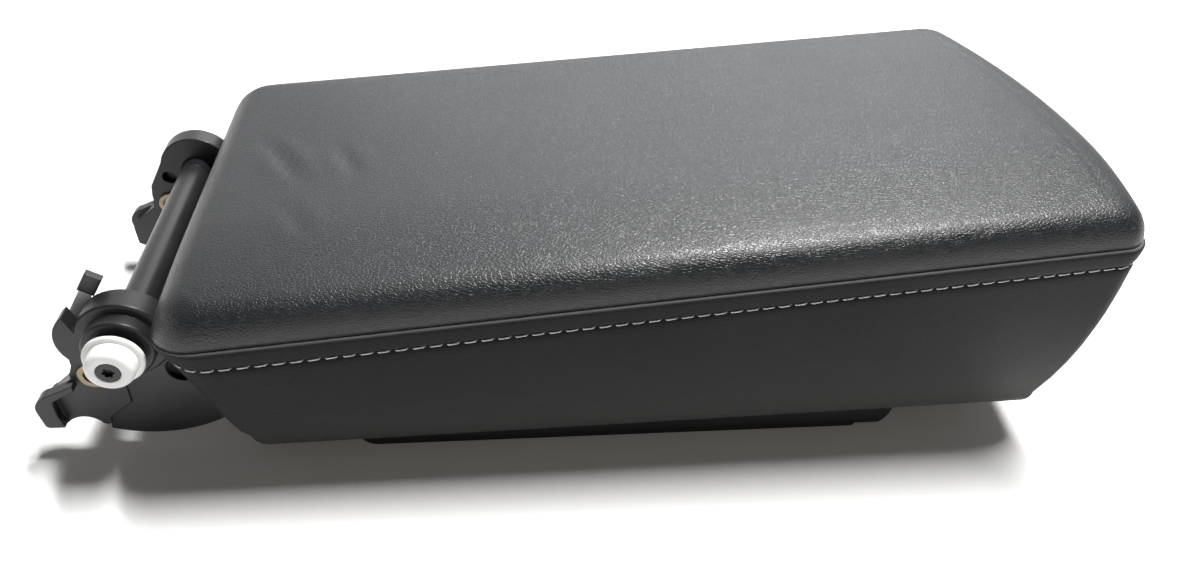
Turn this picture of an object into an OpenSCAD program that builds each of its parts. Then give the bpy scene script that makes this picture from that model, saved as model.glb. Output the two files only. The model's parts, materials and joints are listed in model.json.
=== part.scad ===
// Padded centre armrest of a car on its two-bracket rear hinge, lying on its lower tray.
// +X points to the front end of the pad, Y runs across, +Z is up, Z = 0 is under the tray.
// The hinge end is at -X. Left means the -Y side.

/* [Pad] */
// Length of the padded lid
pad_l = 330; // [296:1:356]
// Width of the lid at its hinge end, at the seam
pad_w_rear = 162.5; // [156:0.5:172]
// Width of the lid at its front end, at the seam
pad_w_front = 163.7; // [156:0.1:176]
// Height of the top panel's edge above the seam
crown_h = 15.3; // [12:0.1:20]
// Extra height of the top panel at its middle
crown_rise = 1.6; // [0:0.2:4]
// How far the roll of the top panel reaches inwards along the sides
roll_w = 9.4; // [6:0.2:14]
// How far the roll reaches inwards at the hinge end
roll_w_rear = 21; // [10:0.5:24]
// How far the roll reaches inwards at the front end
roll_w_front = 13.6; // [8:0.2:18]
// Depth of the side below the seam at the hinge end
skirt_h_rear = 57.5; // [52:0.5:58]
// Depth of the side below the seam at the front end
skirt_h_front = 87.5; // [78:0.5:90]
// How far the side leans in from the seam to the lower turn
side_lean = 13.7; // [6:0.1:15]
// How far the front end leans in from the seam to the lower turn
front_lean = 13.5; // [6:0.5:18]
// How far the hinge end is undercut
rear_lean = 15.9; // [14:0.1:20]
// Radius of the lower turn
turn_r = 7.9; // [6:0.1:10]
// Bow of the front edge across the width
front_bow = 9.8; // [0:0.2:16]
// Corner radius in plan at the front end
front_corner_r = 7.5; // [5:0.5:20]
// Corner radius in plan at the hinge end
rear_corner_r = 16; // [8:0.5:20]
// Thickness of the leather with its backing
cover_t = 1.4; // [1:0.1:2]
// Width of leather turned under along the sides and the front
tuck_w = 12; // [8:0.5:16]
// Width of leather turned under at the hinge end
tuck_rear = 4; // [2:0.5:6]

/* [Posture] */
// Slope of the seam when the tray lies flat
tilt = 7; // [5:0.5:8]
// Height of the hinge axis above the underside of the tray
axis_h = 52.3; // [51:0.1:56]
// Distance from the hinge axis to the hinge end of the lid, along the seam
axis_back = 13.5; // [13:0.1:18]
// Height of the seam above the hinge axis, square to the seam
axis_drop = 8.8; // [6:0.2:11]

/* [Hinge brackets] */
// Distance between the inner faces of the two brackets
bracket_gap = 102; // [98:1:104]
// Thickness of the bracket's plate
plate_t = 6; // [4:0.5:8]
// Thickness of the round head
head_t = 9; // [8:0.5:12]
// Radius of the round head
head_r = 14.3; // [12:0.1:15]
// Radius of the boss on the head
boss_r = 11; // [9.6:0.2:12]
// Height of the boss above the head
boss_t = 5; // [3:0.5:7]
// Radius of the quadrant under the head
quadrant_r = 44.5; // [38:0.5:46]
// How far the quadrant's centre lies in front of the hinge axis
quadrant_shift = 2.5; // [0:0.5:4]
// How much the quadrant is thinner than the plate
quadrant_step = 0.8; // [0.4:0.2:1.6]
// Gap between the quadrant and the hinge end of the lid
quadrant_gap = 1.5; // [1:0.5:4]
// Height of the raised rim on the lower claw
claw_rim_h = 3.5; // [2:0.5:5]

/* [Bolt sleeves] */
// Distance of the bolt hole behind the hinge axis
bolt_back = 12.5; // [12.5:0.5:13]
// Distance of the bolt hole below the hinge axis
bolt_down = 16; // [15.5:0.5:20]
// Radius of the bolt hole
bolt_r = 3.2; // [2.6:0.1:3.6]
// Outer radius of the sleeve
sleeve_r = 5; // [4.4:0.1:5.4]
// How far the sleeve stands out of the plate on each side
sleeve_proud = 1.2; // [0.6:0.2:1.6]

/* [Axle and bushes] */
// Radius of the axle
axle_r = 3.5; // [3:0.1:4]
// Radius of the turning tube
tube_r = 5.5; // [5.2:0.1:6.5]
// Wall of the turning tube
tube_wall = 1; // [0.8:0.1:1.2]
// Radial clearance of the liners on the axle
run_gap = 0.05; // [0.02:0.01:0.1]
// Clearance between the tube and the brackets
side_gap = 0.3; // [0.2:0.1:0.6]
// Depth of the recess in the bracket that takes the tube's end
tube_seat = 1.5; // [1:0.5:2.5]
// Length of the liner's visible collar
liner_collar = 6.5; // [4:0.5:10]
// Radius of the serrated collar
collar_r = 7.4; // [6.5:0.1:8.4]
// Thickness of the serrated collar
collar_t = 3; // [2:0.5:4]
// Number of teeth on the serrated collar
collar_teeth = 18; // [12:1:24]
// Radius of the white bush inside the serrated collar
bush_shank_r = 5; // [4.4:0.1:5.6]
// Radius of the brim of the white bush
brim_r = 9.2; // [8.4:0.1:10]
// Thickness of the brim
brim_t = 1.6; // [1:0.1:2.4]
// Radius of the cup of the white bush
cup_r = 7.4; // [6.6:0.1:8.2]
// Length of the cup of the white bush
cup_t = 5.6; // [4:0.2:7]
// Rounding of the cup's edge
cup_round = 2; // [1:0.1:3]
// Radius of the screw head
screw_head_r = 3.7; // [3.2:0.1:4.2]
// Height of the screw head
screw_head_t = 2.4; // [2:0.1:3]
// Radius of the screw shank
screw_r = 2; // [1.6:0.1:2.2]

/* [Stop strip] */
// Distance of the strip's middle line from the hinge axis
strip_reach = 15.5; // [15:0.1:16.5]
// Slope of the strip
strip_angle = 60; // [56:1:64]
// Width of the steel strip
strip_w = 4.1; // [3.6:0.1:5]
// Thickness of the steel strip
strip_t = 1.4; // [1:0.1:2]
// Length of the steel strip
strip_l = 23; // [21:0.5:24]
// Length of the strip below its point nearest to the axis
strip_foot = 11.5; // [9:0.5:13]
// Wall of the rubber cap
cap_wall = 0.6; // [0.5:0.1:0.9]
// Length of the rubber cap
cap_l = 7; // [5:0.2:8]

/* [Tube arms] */
// Distance between the outer faces of the two arms
arm_gauge = 80; // [70:1:90]
// Thickness of the arm's steel
arm_t = 2.5; // [2:0.5:3.5]
// Width of the arm's foot
foot_w = 22; // [16:1:24]
// How far the weld of the arm reaches round the tube
weld_h = 3; // [2:0.5:4]

/* [Lower tray] */
// Width of the tray
tray_w = 118; // [108:1:118]
// Distance from the hinge axis to the hinge end of the tray
tray_start = 69; // [66:1:76]
// Length of the tray's lowest face
tray_l = 193; // [170:1:200]
// Wall of the tray
tray_wall = 2.5; // [2:0.1:3]
// Length of the raised front step
tray_step_l = 11; // [8:0.5:16]
// Height of the raised front step
tray_step_h = 1.5; // [1:0.5:3]
// Length of the slope at the front end
tray_ramp_l = 8; // [5:0.5:12]
// Height of the slope at the front end
tray_ramp_h = 5.5; // [3:0.5:6]

/* [Carrier] */
// Thickness of the carrier's plate
carrier_t = 3.2; // [2.4:0.1:4]
// Height of the ribs under the carrier
carrier_rib_h = 3; // [2:0.5:4]
// Play between the soft pieces
soft_gap = 0.1; // [0.05:0.05:0.3]

/* [Hidden] */
$fn = 96;

// Outline of the lid in plan, counter-clockwise seen from above, each side pulled in by its own inset
corner_steps = 6;
side_steps = 8;
end_steps = 8;

function turn(cx, cy, r, from) =
    [for (i = [0:corner_steps]) let (a = from + 90 * i / corner_steps) [cx + r * cos(a), cy + r * sin(a)]];
function between(a, b, steps) = [for (i = [1:steps - 1]) a + (b - a) * i / steps];

function box_outline(x0, x1, w, rr, rf) = concat(
    turn(x0 + rr, -w + rr, rr, 180),
    between([x0 + rr, -w], [x1 - rf, -w], side_steps),
    turn(x1 - rf, -w + rf, rf, 270),
    between([x1, -w + rf], [x1, w - rf], end_steps),
    turn(x1 - rf, w - rf, rf, 0),
    between([x1 - rf, w], [x0 + rr, w], side_steps),
    turn(x0 + rr, w - rr, rr, 90),
    between([x0, w - rr], [x0, -w + rr], end_steps));

function half_w(x) = (pad_w_rear + (pad_w_front - pad_w_rear) * x / pad_l) / 2;

// The front bow is blended out towards the hinge end
function plan(side, rear, front) =
    let (x0 = rear, x1 = pad_l - front, w = pad_w_front / 2 - side,
         rr = max(rear_corner_r - side / 3, 2), rf = max(front_corner_r - side / 3, 2))
    [for (p = box_outline(x0, x1, w, rr, rf))
        let (y = p[1] * (half_w(p[0]) - side) / w, s = (p[0] - x0) / (x1 - x0))
        [p[0] - front_bow * (2 * y / pad_w_front) * (2 * y / pad_w_front) * s, y]];

function skirt(x) = skirt_h_rear + (skirt_h_front - skirt_h_rear) * x / pad_l;
floor_slope = atan((skirt_h_front - skirt_h_rear) / pad_l);

// Rings of the side: drop is the share of the height above the lower turn, deep is how far inside the leather
function side_ring(drop, deep) =
    [for (p = plan(side_lean * drop * drop + deep, rear_lean * drop + deep, front_lean * drop * drop + deep))
        [p[0], p[1], -(skirt(p[0]) - turn_r) * drop - soft_gap * (1 - drop)]];
function turn_ring(angle, deep) =
    let (inset = turn_r - (turn_r - deep) * cos(angle))
    [for (p = plan(side_lean + inset, rear_lean + inset, front_lean + inset))
        [p[0], p[1], -(skirt(p[0]) - turn_r) - (turn_r - deep) * sin(angle)]];
function tuck_ring(deep) =
    [for (p = plan(side_lean + turn_r + tuck_w, rear_lean + turn_r + tuck_rear, front_lean + turn_r + tuck_w))
        [p[0], p[1], -skirt(p[0]) + deep]];
side_drops = [0, 0.12, 0.25, 0.4, 0.55, 0.7, 0.85, 1];
turn_angles = [22, 45, 68, 90];

// Rings of the top panel: a roll at the edge, then a shallow crown to the middle
roll_angles = [0, 20, 38, 54, 68, 80, 90];
crown_shares = [0.2, 0.5, 0.8];
function roll_ring(angle, deep) =
    let (in = 1 - cos(angle), skin = deep * cos(angle), z = (crown_h - deep) * sin(angle))
    [for (p = plan(roll_w * in + skin, roll_w_rear * in + skin, roll_w_front * in + skin)) [p[0], p[1], z]];
crown_margin = 12;
crown_end = pad_w_front / 2 - crown_margin;
function crown_ring(share, deep) =
    let (more = (crown_end - roll_w) * share,
         z = crown_h - deep + crown_rise * (1 - (1 - share) * (1 - share)))
    [for (p = plan(roll_w + more, roll_w_rear + more, roll_w_front + more)) [p[0], p[1], z]];

function middle(ring) = [for (k = [0:2])
    let (column = [for (p = ring) p[k]]) (max(column) + min(column)) / 2];
// Closed solid through a list of rings with equal counts of points
module loft(rings, closed_loop = false) {
    n = len(rings[0]);
    m = len(rings);
    ends = closed_loop ? [] : [middle(rings[0]), middle(rings[m - 1])];
    points = concat([for (ring = rings) each ring], ends);
    last = closed_loop ? m - 1 : m - 2;
    skin = [for (i = [0:last], j = [0:n - 1])
        let (a = i * n + j, b = i * n + (j + 1) % n,
             c = (i + 1) % m * n + (j + 1) % n, d = (i + 1) % m * n + j)
        each [[a, d, c], [a, c, b]]];
    start_cap = [for (j = [0:n - 1]) [m * n, j, (j + 1) % n]];
    end_cap = [for (j = [0:n - 1]) [m * n + 1, (m - 1) * n + (j + 1) % n, (m - 1) * n + j]];
    polyhedron(points, closed_loop ? skin : concat(skin, start_cap, end_cap), convexity = 6);
}

// Places: the hinge axis, the lid's own frame with the seam at z = 0, and the frame of its sloping floor
claw_reach = 32.4;
lid_front_x = (pad_l + axis_back) * cos(tilt);
axis_x = (claw_reach - lid_front_x) / 2;
module at_axis() translate([axis_x, 0, axis_h]) children();
module in_lid() at_axis() rotate([0, -tilt, 0]) translate([axis_back, 0, axis_drop]) children();
module on_floor() in_lid() translate([0, 0, -skirt_h_rear]) rotate([0, floor_slope, 0]) children();

// Flat outline in x and z, from the lower to the higher y
module slab(y0, y1) translate([0, y1, 0]) rotate([90, 0, 0]) linear_extrude(y1 - y0) children();
// Round solid along y
module rod(r, y0, y1) translate([0, y1, 0]) rotate([90, 0, 0]) cylinder(r = r, h = y1 - y0);

inner_y = bracket_gap / 2;
plate_y = inner_y + plate_t;
head_y = inner_y + head_t;
boss_y = head_y + boss_t;
collar_y = boss_y + collar_t;
brim_y = collar_y + brim_t;
cup_y = brim_y + cup_t;
axle_end_y = collar_y;

// Left bracket, drawn for +Y and mirrored to the side that it belongs to
function bend(cx, cz, r, from, to, steps) =
    [for (i = [0:steps]) let (a = from + (to - from) * i / steps) [cx + r * cos(a), cz + r * sin(a)]];

// Upper end of the step between the claw's root and the thinner quadrant
step_top = [-3.8, -29.4];
// Lower claw: a raised rim that hooks round towards -X, on a root that grows out of the plate
claw_rim_outline = concat(
    [[-19, -18.4]],
    bend(-26.4, -28.6, 6, 105, 184, 8),
    bend(-29.6, -35.2, 1.6, 180, 262, 4),
    [[-25.2, -36.8], [-26.4, -31.3]],
    bend(-24.4, -26.4, 2.2, 180, 115, 6),
    [[-19, -20.8]]);
claw_root_outline = concat(
    [[-18, -16]],
    bend(-25.8, -28.8, 4.4, 110, 184, 6),
    [[-29.6, -36.4], [-27.2, -37.6]],
    bend(-20.3, -41.9, 6.6, 142, 30, 10),
    [[-13, -39.3], [-11.9, -38.4], [-11.6, -36], step_top, [-4, -20]]);
// Plate between the head, the waist and the quadrant
waist_outline = concat(
    bend(0, 0, head_r - 1, 172, 200, 4),
    [[-18.2, -10.4], [-19.2, -13.4], [-20.3, -16.2], [-20.4, -19], [-12, -28], [-4, -27], [-4, -8]]);

// The hinge end of the lid is a plane below the seam; the quadrant stops short of it
rear_slope = atan(rear_lean / (skirt_h_rear - turn_r));
face_angle = rear_slope + tilt;
face_reach = axis_back * cos(rear_slope) + axis_drop * sin(rear_slope) - quadrant_gap;
module quadrant_outline() intersection() {
    translate([quadrant_shift, 0]) circle(quadrant_r);
    rotate(face_angle) translate([-60, -60]) square([60 + face_reach, 120]);
    polygon([[-8, 0], [-9, -27], [-15, -36], [-12.6, -38.9], [-12.6, -60], [60, -60], [60, -10], [10, 9]]);
}

// Cheek: a thin plate on the inner side that reaches past the head
cheek_outline = [[-2, 12], [-8.5, 9.4], [-10.6, 7.8], [-13.1, 4.6], [-16.4, -1.9], [-19.4, -7.8],
                 [-19.9, -12.5], [-19.6, -17.6], [-10, -24], [0, -10]];
cheek_t = 4;
// Upper lug: a round finger beside the head, notched where it meets the head, whose foot carries the strip
lug_x = -7.9;
lug_z = 0.5;
lug_r = 12.2;
lug_top_slope = 23;
lug_tip = [-15.4, 10.4];
lug_notch = [-12.9, 2.5];
lug_notch_lean = 21.7;
lug_foot_top = 2;
lug_foot_step = 0.4;
module lug_outline() intersection() {
    translate([lug_x, lug_z]) circle(lug_r);
    translate(lug_tip) rotate(-lug_top_slope) translate([-20, -60]) square([40, 60]);
}
module lug_foot_outline() intersection() {
    translate([lug_x, lug_z]) circle(lug_r - lug_foot_step);
    translate([-40, -60]) square([80, 60 + lug_foot_top]);
}
module upper_lug() {
    slab(inner_y + cheek_t - 1, head_y) difference() {
        lug_outline();
        translate(lug_notch) rotate(lug_notch_lean) square([30, 30]);
    }
    slab(inner_y, inner_y + cheek_t) lug_foot_outline();
}
recess_x = 14.6;
recess_z = -15.6;
recess_r = 5.2;
recess_depth = 2.5;
spring_hole_r = 2.8;
spring_hole_depth = 3;
spring_hole_x = -11.4;
spring_hole_z = -3.6;
pad_play = 0.2;
strip_pad = cap_wall + pad_play;
cap_end_t = 1;
strip_y = inner_y - strip_pad;
module along_strip(from, length, width) rotate(strip_angle) translate([from, strip_reach - width / 2])
    square([length, width]);

back_edge = 0.4;
face_edge = 0.6;
module bracket_boss() rotate([-90, 0, 0]) rotate_extrude()
    polygon([[0, inner_y], [head_r - back_edge, inner_y], [head_r, inner_y + back_edge],
             [head_r, head_y - face_edge], [head_r - face_edge, head_y], [boss_r, head_y],
             [boss_r, boss_y - face_edge], [boss_r - face_edge, boss_y], [0, boss_y]]);

module bracket(has_lug) at_axis() difference() {
    union() {
        slab(inner_y, plate_y) polygon(waist_outline);
        slab(inner_y, inner_y + cheek_t) polygon(cheek_outline);
        slab(inner_y, plate_y) polygon(claw_root_outline);
        slab(inner_y, plate_y - quadrant_step) quadrant_outline();
        slab(plate_y - 1, plate_y + claw_rim_h) polygon(claw_rim_outline);
        bracket_boss();
        if (has_lug) {
            upper_lug();
            slab(strip_y, inner_y + 1) intersection() {
                along_strip(-strip_foot, strip_w, strip_w);
                lug_foot_outline();
            }
        }
    }
    rod(axle_r, inner_y - 1, boss_y + 1);
    rod(tube_r + side_gap, inner_y - 1, inner_y + tube_seat);
    translate([-bolt_back, 0, -bolt_down]) rod(sleeve_r, inner_y - 1, plate_y + 1);
    translate([recess_x, 0, recess_z]) rod(recess_r, plate_y - quadrant_step - recess_depth, plate_y + 1);
    if (!has_lug) translate([spring_hole_x, 0, spring_hole_z])
        rod(spring_hole_r, inner_y - 1, inner_y + spring_hole_depth);
}

module bolt_sleeve() at_axis() translate([-bolt_back, 0, -bolt_down]) difference() {
    rod(sleeve_r, inner_y - sleeve_proud, plate_y + sleeve_proud);
    rod(bolt_r, inner_y - sleeve_proud - 1, plate_y + sleeve_proud + 1);
}

tooth_h = 0.9;
module serrated_collar() at_axis() slab(boss_y, collar_y) difference() {
    polygon([for (i = [0:2 * collar_teeth - 1])
        let (a = 180 * i / collar_teeth, r = collar_r - (i % 2) * tooth_h) [r * cos(a), r * sin(a)]]);
    circle(bush_shank_r);
}

head_play = 0.1;
module pivot_bush() at_axis() rotate([-90, 0, 0]) rotate_extrude() polygon(concat(
    [[axle_r, boss_y], [bush_shank_r, boss_y], [bush_shank_r, collar_y],
     [brim_r - back_edge, collar_y], [brim_r, collar_y + back_edge],
     [brim_r, brim_y - back_edge], [brim_r - back_edge, brim_y],
     [cup_r, brim_y]],
    bend(cup_r - cup_round, cup_y - cup_round, cup_round, 0, 90, 8),
    [[screw_head_r + head_play, cup_y], [screw_head_r + head_play, cup_y - screw_head_t],
     [screw_r + head_play, cup_y - screw_head_t], [screw_r + head_play, axle_end_y], [axle_r, axle_end_y]]));

// Six-lobe recess of the bush screw, and how deep the screw goes into the axle
lobe_r = 1.4;
lobe_tip_r = 0.45;
lobe_depth = 1.4;
screw_bite = 8;
bore_spare = 2;
module six_lobe() {
    circle(lobe_r);
    for (i = [0:5]) rotate(60 * i) translate([lobe_r, 0]) circle(lobe_tip_r);
}
module bush_screw() at_axis() difference() {
    union() {
        rod(screw_head_r, cup_y - screw_head_t, cup_y);
        rod(screw_r, axle_end_y - screw_bite, cup_y - screw_head_t);
    }
    slab(cup_y - lobe_depth, cup_y + 1) six_lobe();
}

module pivot_axle() color("dimgray") at_axis() difference() {
    rod(axle_r, -axle_end_y, axle_end_y);
    rod(screw_r, axle_end_y - screw_bite - bore_spare, axle_end_y + 1);
    rod(screw_r, -axle_end_y - 1, screw_bite + bore_spare - axle_end_y);
}

module stop_strip() color("silver") at_axis() mirror([0, 1, 0])
    slab(strip_y - strip_t, strip_y) along_strip(-strip_foot, strip_l, strip_w);
module stop_cap() color("black") at_axis() mirror([0, 1, 0]) difference() {
    slab(strip_y - strip_t - cap_wall, strip_y + cap_wall)
        along_strip(strip_l - strip_foot + cap_end_t - cap_l, cap_l, strip_w + 2 * cap_wall);
    slab(strip_y - strip_t, strip_y) along_strip(-strip_foot, strip_l, strip_w);
}

// Turning tube with a plastic liner in each end
tube_end = inner_y + tube_seat - side_gap;
liner_depth = 10;
module hinge_tube() color("dimgray") at_axis() difference() {
    rod(tube_r, liner_collar - tube_end, tube_end - liner_collar);
    rod(tube_r - tube_wall, -tube_end, tube_end);
}
module tube_liner() at_axis() difference() {
    union() {
        rod(tube_r, tube_end - liner_collar, tube_end);
        rod(tube_r - tube_wall, tube_end - liner_collar - liner_depth, tube_end);
    }
    rod(axle_r + run_gap, tube_end - liner_collar - liner_depth - 1, tube_end + 1);
}

// A point of the lid's own frame, seen from the hinge axis
function from_axis(x, z) = [(x + axis_back) * cos(tilt) - (z + axis_drop) * sin(tilt),
                            (x + axis_back) * sin(tilt) + (z + axis_drop) * cos(tilt)];

// Arm: a web welded to the lower front side of the tube, and a foot under the carrier
arm_y = arm_gauge / 2;
web_gap = 1;
ground_gap = 1.5;
tuck_line = rear_lean + turn_r + tuck_rear;
foot_lead = 8;
foot_l = 50;
foot_start = tuck_line - foot_lead;
foot_end = foot_start + foot_l;
foot_screws = [foot_start + 22, foot_start + 42];
foot_head_t = 2.2;
foot_boss_r = 6;
tray_boss_r = 5.6;
rib_y = [-24, 0, 24];
rib_t = 2;
rib_l = 150;
rib_lead = 12;
inward = turn_r + 0.5;
foot_y = arm_y - foot_w / 2;
foot_top = -soft_gap;
foot_under = foot_top - arm_t;
full_lean = rear_lean * skirt_h_rear / (skirt_h_rear - turn_r);
module lid_wedge() rotate(tilt) translate([axis_back, axis_drop]) polygon([
    [-web_gap, 60], [-web_gap, 0], [full_lean - web_gap, -skirt_h_rear],
    [tuck_line - 10, foot_top - skirt(tuck_line - 10)], [pad_l, foot_top - skirt(pad_l)], [pad_l, 60]]);
module arm_web_outline() difference() {
    heel = from_axis(foot_start, -skirt(foot_start));
    toe = from_axis(foot_end, -skirt(foot_end));
    polygon([[-weld_h, -weld_h], [0, 0], [tube_r + weld_h, -1], [30, -22], [toe[0], toe[1] + 8],
             [toe[0], toe[1] - 3], [heel[0] + 6, ground_gap - axis_h], [heel[0] - 12, ground_gap - axis_h]]);
    lid_wedge();
    circle(tube_r);
}
module tube_arm() {
    at_axis() slab(arm_y - arm_t, arm_y) arm_web_outline();
    on_floor() difference() {
        translate([foot_start, arm_y - foot_w, foot_under]) cube([foot_end - foot_start, foot_w, arm_t]);
        for (x = foot_screws) translate([x, foot_y, foot_under - 1]) cylinder(r = screw_r, h = arm_t + 2);
    }
}

// Carrier: a plate inside the turned leather, with pads for the screws and ribs between them
plate_low = cover_t + soft_gap;
plate_high = plate_low + carrier_t;
tray_screw_x = [50, 112, 176];
tray_screw_inset = 8;
tray_screw_y = pad_w_rear / 2 - side_lean - turn_r - tuck_w - tray_screw_inset;
tray_screw_bite = 4.4;
tray_x = axis_x + tray_start;
// Height of the lid's sloping floor above the underside of the tray, at a distance from the hinge axis
floor_heel = from_axis(0, -skirt_h_rear);
function floor_z(reach) = axis_h + floor_heel[1] + (reach - floor_heel[0]) * tan(tilt - floor_slope);
tray_screw_rise = 1;
tray_screw_grip = floor_z(tray_start + tray_screw_x[0]) - screw_head_t - tray_screw_rise;
module at_tray_screws() for (x = tray_screw_x, side = [-1, 1])
    translate([tray_x + x, side * tray_screw_y, 0]) children();
// The same places, raised to the underside of the screw heads, so that one length of screw suits all six
module at_tray_heads() for (x = tray_screw_x, side = [-1, 1])
    translate([tray_x + x, side * tray_screw_y, floor_z(tray_start + x) - tray_screw_grip]) children();
module at_foot_screws() on_floor() for (x = foot_screws, side = [-1, 1])
    translate([x, side * foot_y, 0]) children();
module below_floor(height) on_floor() translate([-60, -100, height - 100]) cube([pad_l + 120, 200, 100]);

module carrier_frame() color("black") difference() {
    union() {
        on_floor() translate([0, 0, plate_low]) linear_extrude(carrier_t)
            polygon([for (p = plan(side_lean + inward, rear_lean + inward, front_lean + inward))
                [p[0] / cos(floor_slope), p[1]]]);
        at_foot_screws() translate([0, 0, foot_top]) cylinder(r = foot_boss_r, h = plate_low - foot_top + 1);
        on_floor() for (y = rib_y) translate([foot_end + rib_lead, y - rib_t / 2, plate_low - carrier_rib_h])
            cube([rib_l, rib_t, carrier_rib_h + 1]);
        difference() {
            at_tray_screws() cylinder(r = tray_boss_r, h = axis_h);
            below_floor(foot_top);
            on_floor() translate([-60, -100, plate_low + 1]) cube([pad_l + 120, 200, 100]);
        }
    }
    at_foot_screws() translate([0, 0, foot_top - 1]) cylinder(r = screw_r, h = 20);
    at_tray_screws() cylinder(r = screw_r, h = axis_h);
}

module arm_screws() color("dimgray") at_foot_screws() {
    translate([0, 0, foot_under - foot_head_t]) cylinder(r = screw_head_r, h = foot_head_t);
    translate([0, 0, foot_under - 0.1]) cylinder(r = screw_r, h = plate_high - foot_under);
}

// Soft pieces of the lid
inside = cover_t + soft_gap;
foam_angle = asin((turn_r - plate_high - soft_gap) / (turn_r - inside));
module foam_core() color("dimgray") in_lid() loft(concat(
    [turn_ring(foam_angle, inside)],
    [for (i = [len(side_drops) - 1:-1:1]) side_ring(side_drops[i], inside)],
    [for (a = roll_angles) roll_ring(a, inside)],
    [for (s = crown_shares) crown_ring(s, inside)]));

module top_cover() color("#2b2d2e") in_lid() loft(concat(
    [for (i = [len(crown_shares) - 1:-1:0]) crown_ring(crown_shares[i], cover_t)],
    [for (i = [len(roll_angles) - 1:-1:0]) roll_ring(roll_angles[i], cover_t)],
    [for (a = roll_angles) roll_ring(a, 0)],
    [for (s = crown_shares) crown_ring(s, 0)]));

module side_cover() color("#232526") in_lid() loft(concat(
    [tuck_ring(0)],
    [for (i = [len(turn_angles) - 1:-1:0]) turn_ring(turn_angles[i], 0)],
    [for (i = [len(side_drops) - 1:-1:0]) side_ring(side_drops[i], 0)],
    [for (d = side_drops) side_ring(d, cover_t)],
    [for (a = turn_angles) turn_ring(a, cover_t)],
    [tuck_ring(cover_t)]), closed_loop = true);

// Lower tray: an open box against the lid's floor, stepped and sloped at its front end
tray_low_end = tray_x + tray_l;
tray_step_end = tray_low_end + tray_step_l;
tray_end = tray_step_end + tray_ramp_l;
tray_corner_r = 8;
counterbore_r = screw_head_r + 0.4;
tray_edge = 1.5;
module tray_solid(inset) intersection() {
    slab(inset - tray_w / 2, tray_w / 2 - inset) polygon([
        [tray_x + inset, inset + tray_edge], [tray_x + inset + tray_edge, inset],
        [tray_low_end - inset / 2, inset], [tray_low_end - inset / 2 + 1, inset + tray_step_h],
        [tray_step_end - inset / 2, inset + tray_step_h],
        [tray_end - inset, inset + tray_step_h + tray_ramp_h], [tray_end - inset, axis_h],
        [tray_x + inset, axis_h]]);
    linear_extrude(axis_h) polygon(box_outline(tray_x + inset, tray_end - inset, tray_w / 2 - inset,
        tray_corner_r - inset, tray_corner_r - inset));
    if (inset == 0) below_floor(foot_top);
}
module lower_tray() color("black") difference() {
    union() {
        difference() {
            tray_solid(0);
            tray_solid(tray_wall);
        }
        intersection() {
            at_tray_screws() cylinder(r = tray_boss_r, h = axis_h);
            below_floor(foot_top);
        }
    }
    at_tray_screws() translate([0, 0, -1]) cylinder(r = screw_r + 0.2, h = axis_h);
    at_tray_heads() mirror([0, 0, 1]) cylinder(r = counterbore_r, h = axis_h);
    for (side = [-1, 1]) translate([tray_x - 1, side * foot_y - foot_w / 2 - 1, ground_gap - 1])
        cube([tray_wall + 2, foot_w + 2, axis_h]);
}
module tray_screws() color("dimgray") at_tray_heads() {
    mirror([0, 0, 1]) cylinder(r = screw_head_r, h = screw_head_t);
    cylinder(r = screw_r, h = tray_screw_grip + tray_screw_bite);
}

module left() mirror([0, 1, 0]) children();
module left_bracket() color("#1c1c1d") left() bracket(true);
module right_bracket() color("#1c1c1d") bracket(false);
module left_bolt_sleeve() color("#8f7a52") left() bolt_sleeve();
module right_bolt_sleeve() color("#8f7a52") bolt_sleeve();
module left_serrated_collar() color("black") left() serrated_collar();
module right_serrated_collar() color("black") serrated_collar();
module left_pivot_bush() color("white") left() pivot_bush();
module right_pivot_bush() color("white") pivot_bush();
module left_bush_screw() color("dimgray") left() bush_screw();
module right_bush_screw() color("dimgray") bush_screw();
module left_tube_liner() color("#2a2a2c") left() tube_liner();
module right_tube_liner() color("#2a2a2c") tube_liner();
module left_tube_arm() color("#303234") left() tube_arm();
module right_tube_arm() color("#303234") tube_arm();

left_bracket();
right_bracket();
left_bolt_sleeve();
right_bolt_sleeve();
pivot_axle();
left_serrated_collar();
right_serrated_collar();
left_pivot_bush();
right_pivot_bush();
left_bush_screw();
right_bush_screw();
stop_strip();
stop_cap();
hinge_tube();
left_tube_liner();
right_tube_liner();
left_tube_arm();
right_tube_arm();
arm_screws();
carrier_frame();
foam_core();
top_cover();
side_cover();
lower_tray();
tray_screws();
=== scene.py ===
# A padded car armrest lid on its rear hinge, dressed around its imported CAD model.
# Lengths are in metres in the part's own frame: +X to the lid's front end, +Y to its right side,
# +Z up.
import json

import bmesh
import bpy
import numpy as np
from mathutils import Euler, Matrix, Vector


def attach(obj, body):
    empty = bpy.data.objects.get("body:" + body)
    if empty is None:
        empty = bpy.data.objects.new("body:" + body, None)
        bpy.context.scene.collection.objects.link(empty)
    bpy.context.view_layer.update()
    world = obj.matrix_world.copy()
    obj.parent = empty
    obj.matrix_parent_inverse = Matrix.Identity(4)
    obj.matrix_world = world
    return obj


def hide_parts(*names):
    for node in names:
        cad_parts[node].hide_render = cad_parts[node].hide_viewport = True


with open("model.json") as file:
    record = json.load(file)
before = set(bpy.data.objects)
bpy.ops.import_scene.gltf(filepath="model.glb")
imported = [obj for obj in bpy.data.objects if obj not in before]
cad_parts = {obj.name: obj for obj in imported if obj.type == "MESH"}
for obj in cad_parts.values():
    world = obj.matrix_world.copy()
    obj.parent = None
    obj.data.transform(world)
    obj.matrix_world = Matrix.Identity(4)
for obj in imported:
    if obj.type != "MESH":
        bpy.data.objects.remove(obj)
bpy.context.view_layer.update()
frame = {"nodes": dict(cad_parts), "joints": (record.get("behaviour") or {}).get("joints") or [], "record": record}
nodes = frame["nodes"]

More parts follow.
